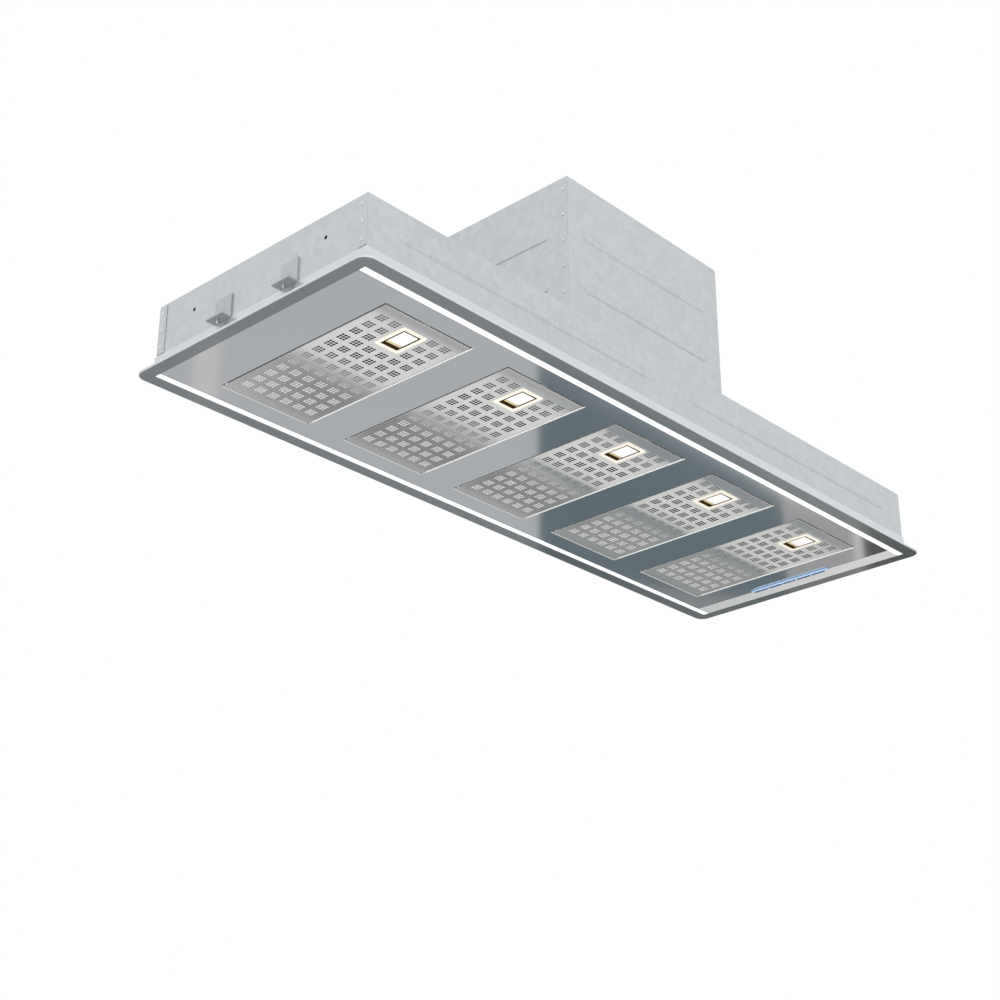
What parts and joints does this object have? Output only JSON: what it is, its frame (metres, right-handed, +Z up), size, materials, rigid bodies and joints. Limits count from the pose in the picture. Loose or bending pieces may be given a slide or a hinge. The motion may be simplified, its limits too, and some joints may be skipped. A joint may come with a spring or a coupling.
{
  "type": "built-in range hood",
  "caption": "Built-in range hood for a wall cabinet: flanged stainless underside with hinged perforated filters, light strips and push keys, and a blower box with a duct spigot.",
  "frame": {"origin": "middle of the cabinet cut-out, level with the underside of the cabinet, where the hem of the flange seats", "axes": "+X to the right along the width, +Y to the wall behind, +Z up into the cabinet"},
  "size_m": [1.16, 0.418, 0.3941],
  "materials": {
    "border_steel": "satin",
    "panel_steel": "polished",
    "fascia_steel": "fine satin",
    "filter_steel": "satin, perforated",
    "mesh_aluminium": "expanded mesh",
    "bezel": "gloss",
    "latch_white": "gloss",
    "profile_aluminium": "anodised",
    "opal": "opal, lit from behind",
    "led_board": "matt",
    "rail_blue": "gloss",
    "key_light": "translucent, lit from behind",
    "circuit_board": "matt",
    "black_plastic": "matt",
    "housing_sheet": "zinc coated",
    "scroll_plastic": "matt",
    "impeller_plastic": "matt",
    "flap_plastic": "matt",
    "bright_steel": "bright",
    "zinc_steel": "zinc coated",
    "motor_paint": "satin",
    "capacitor_can": "satin"
  },
  "bodies": {
    "hood": {"flange_frame": "border_steel", "filter_panel": "panel_steel", "control_fascia": "fascia_steel", "led_profiles": "profile_aluminium", "led_diffusers": "opal", "led_boards": "led_board", "key_rail": "rail_blue", "key_board": "circuit_board", "control_box": "black_plastic", "housing_shell": "housing_sheet", "housing_roof": "housing_sheet", "blower_tower": "housing_sheet", "scroll_left": "scroll_plastic", "scroll_right": "scroll_plastic", "motor": "motor_paint", "motor_bracket": "zinc_steel", "capacitor": "capacitor_can", "outlet_collar": "black_plastic", "flap_pins": "bright_steel", "electronics_box": "black_plastic", "electronics_lid": "black_plastic", "driver_board": "circuit_board", "cable_gland": "black_plastic", "cabinet_clamps": "zinc_steel", "clamp_screws": "bright_steel", "panel_nuts": "bright_steel"},
    "filter_1": {"filter_tray_1": "filter_steel", "filter_mesh_1": "mesh_aluminium", "latch_bezel_1": "bezel", "latch_springs_1": "bright_steel"},
    "latch_1": {"latch_slide_1": "latch_white"},
    "filter_2": {"filter_tray_2": "filter_steel", "filter_mesh_2": "mesh_aluminium", "latch_bezel_2": "bezel", "latch_springs_2": "bright_steel"},
    "latch_2": {"latch_slide_2": "latch_white"},
    "filter_3": {"filter_tray_3": "filter_steel", "filter_mesh_3": "mesh_aluminium", "latch_bezel_3": "bezel", "latch_springs_3": "bright_steel"},
    "latch_3": {"latch_slide_3": "latch_white"},
    "filter_4": {"filter_tray_4": "filter_steel", "filter_mesh_4": "mesh_aluminium", "latch_bezel_4": "bezel", "latch_springs_4": "bright_steel"},
    "latch_4": {"latch_slide_4": "latch_white"},
    "filter_5": {"filter_tray_5": "filter_steel", "filter_mesh_5": "mesh_aluminium", "latch_bezel_5": "bezel", "latch_springs_5": "bright_steel"},
    "latch_5": {"latch_slide_5": "latch_white"},
    "key_1": {"key_1": "key_light"},
    "key_2": {"key_2": "key_light"},
    "key_3": {"key_3": "key_light"},
    "key_4": {"key_4": "key_light"},
    "key_5": {"key_5": "key_light"},
    "impeller": {"impeller": "impeller_plastic", "motor_shaft": "bright_steel"},
    "flap_front": {"flap_front": "flap_plastic"},
    "flap_rear": {"flap_rear": "flap_plastic"}
  },
  "joints": [
    {"name": "filter_1_hinge", "type": "hinge", "parent": "hood", "child": "filter_1", "pos_m": [-0.417, 0.1425, 0.0007], "axis": [1, 0, 0], "range_deg": [0, 90]},
    {"name": "latch_1_slide", "type": "slide", "parent": "filter_1", "child": "latch_1", "axis": [0, 1, 0], "range_m": [-0.0022, 0.005], "stiffness_N_per_m": 800, "springref_m": -0.0064, "deforming": ["latch_springs_1"]},
    {"name": "filter_2_hinge", "type": "hinge", "parent": "hood", "child": "filter_2", "pos_m": [-0.2085, 0.1425, 0.0007], "axis": [1, 0, 0], "range_deg": [0, 90]},
    {"name": "latch_2_slide", "type": "slide", "parent": "filter_2", "child": "latch_2", "axis": [0, 1, 0], "range_m": [-0.0022, 0.005], "stiffness_N_per_m": 800, "springref_m": -0.0064, "deforming": ["latch_springs_2"]},
    {"name": "filter_3_hinge", "type": "hinge", "parent": "hood", "child": "filter_3", "pos_m": [0, 0.1425, 0.0007], "axis": [1, 0, 0], "range_deg": [0, 90]},
    {"name": "latch_3_slide", "type": "slide", "parent": "filter_3", "child": "latch_3", "axis": [0, 1, 0], "range_m": [-0.0022, 0.005], "stiffness_N_per_m": 800, "springref_m": -0.0064, "deforming": ["latch_springs_3"]},
    {"name": "filter_4_hinge", "type": "hinge", "parent": "hood", "child": "filter_4", "pos_m": [0.2085, 0.1425, 0.0007], "axis": [1, 0, 0], "range_deg": [0, 90]},
    {"name": "latch_4_slide", "type": "slide", "parent": "filter_4", "child": "latch_4", "axis": [0, 1, 0], "range_m": [-0.0022, 0.005], "stiffness_N_per_m": 800, "springref_m": -0.0064, "deforming": ["latch_springs_4"]},
    {"name": "filter_5_hinge", "type": "hinge", "parent": "hood", "child": "filter_5", "pos_m": [0.417, 0.1425, 0.0007], "axis": [1, 0, 0], "range_deg": [0, 90]},
    {"name": "latch_5_slide", "type": "slide", "parent": "filter_5", "child": "latch_5", "axis": [0, 1, 0], "range_m": [-0.0022, 0.005], "stiffness_N_per_m": 800, "springref_m": -0.0064, "deforming": ["latch_springs_5"]},
    {"name": "key_1_press", "type": "slide", "parent": "hood", "child": "key_1", "axis": [0, 0, 1], "range_m": [0, 0.0008], "stiffness_N_per_m": 400},
    {"name": "key_2_press", "type": "slide", "parent": "hood", "child": "key_2", "axis": [0, 0, 1], "range_m": [0, 0.0008], "stiffness_N_per_m": 400},
    {"name": "key_3_press", "type": "slide", "parent": "hood", "child": "key_3", "axis": [0, 0, 1], "range_m": [0, 0.0008], "stiffness_N_per_m": 400},
    {"name": "key_4_press", "type": "slide", "parent": "hood", "child": "key_4", "axis": [0, 0, 1], "range_m": [0, 0.0008], "stiffness_N_per_m": 400},
    {"name": "key_5_press", "type": "slide", "parent": "hood", "child": "key_5", "axis": [0, 0, 1], "range_m": [0, 0.0008], "stiffness_N_per_m": 400},
    {"name": "impeller_spin", "type": "hinge", "parent": "hood", "child": "impeller", "pos_m": [0, 0.01, 0.22363], "axis": [1, 0, 0], "continuous": true},
    {"name": "flap_front_hinge", "type": "hinge", "parent": "hood", "child": "flap_front", "pos_m": [0, 0.066, 0.3557], "axis": [-1, 0, 0], "range_deg": [0, 80]},
    {"name": "flap_rear_hinge", "type": "hinge", "parent": "hood", "child": "flap_rear", "pos_m": [0, 0.074, 0.3557], "axis": [1, 0, 0], "range_deg": [0, 80]}
  ]
}
